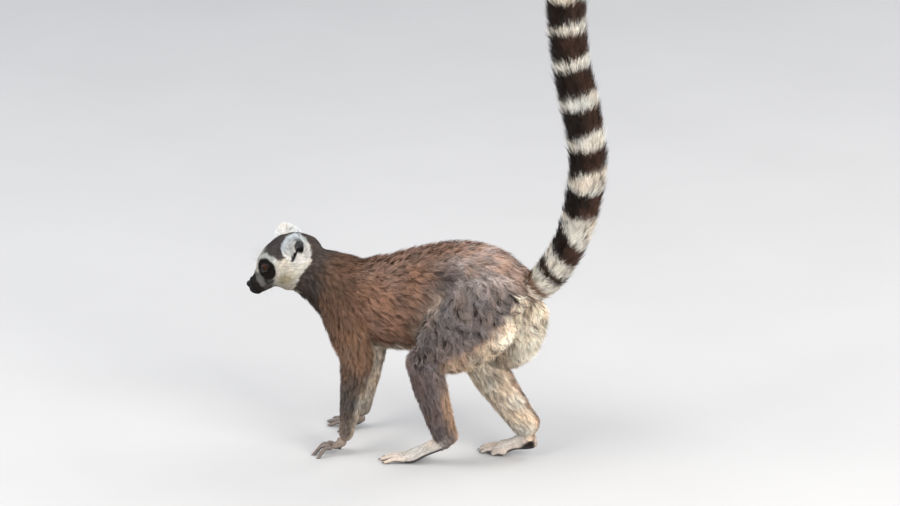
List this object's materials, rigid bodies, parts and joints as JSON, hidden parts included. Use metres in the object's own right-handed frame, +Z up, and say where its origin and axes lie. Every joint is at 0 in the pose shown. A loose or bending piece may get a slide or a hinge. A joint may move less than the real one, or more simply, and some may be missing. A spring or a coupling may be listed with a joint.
{
  "type": "ring-tailed lemur model",
  "caption": "Life-size ring-tailed lemur standing in mid-stride on all fours, with its head turned and its banded tail held high in an S curve.",
  "frame": {"origin": "on the floor under the middle of the whole figure's box", "axes": "+Z up, -X the way the animal faces, -Y its left side"},
  "size_m": [0.5064, 0.1669, 0.817],
  "materials": {
    "grey_coat": "matte, dense grey fur over a stuffed body",
    "rust_coat": "matte, dense rusty brown fur over a stuffed body",
    "dark_coat": "matte, dense charcoal fur with white face markings",
    "pale_coat": "matte, short off-white fur",
    "tail_coat": "matte, long soft fur in black and white bands round a thin core",
    "bare_skin": "satin, bare black skin of nose, claws and soles",
    "eye": "glossy, amber iris with a dark pupil"
  },
  "bodies": {
    "root": {"head": "dark_coat", "neck": "dark_coat", "left_ear": "pale_coat", "right_ear": "pale_coat", "left_eye": "eye", "right_eye": "eye", "nose": "bare_skin", "chest": "rust_coat", "loin": "rust_coat", "rump": "grey_coat", "tail_1": "tail_coat", "tail_2": "tail_coat", "tail_3": "tail_coat", "tail_4": "tail_coat", "tail_5": "tail_coat", "tail_6": "tail_coat", "left_upper_arm": "rust_coat", "left_forearm": "grey_coat", "left_hand": "pale_coat", "left_thigh": "grey_coat", "left_shank": "grey_coat", "left_foot": "pale_coat", "right_upper_arm": "rust_coat", "right_forearm": "grey_coat", "right_hand": "pale_coat", "right_thigh": "grey_coat", "right_shank": "grey_coat", "right_foot": "pale_coat"}
  },
  "joints": []
}
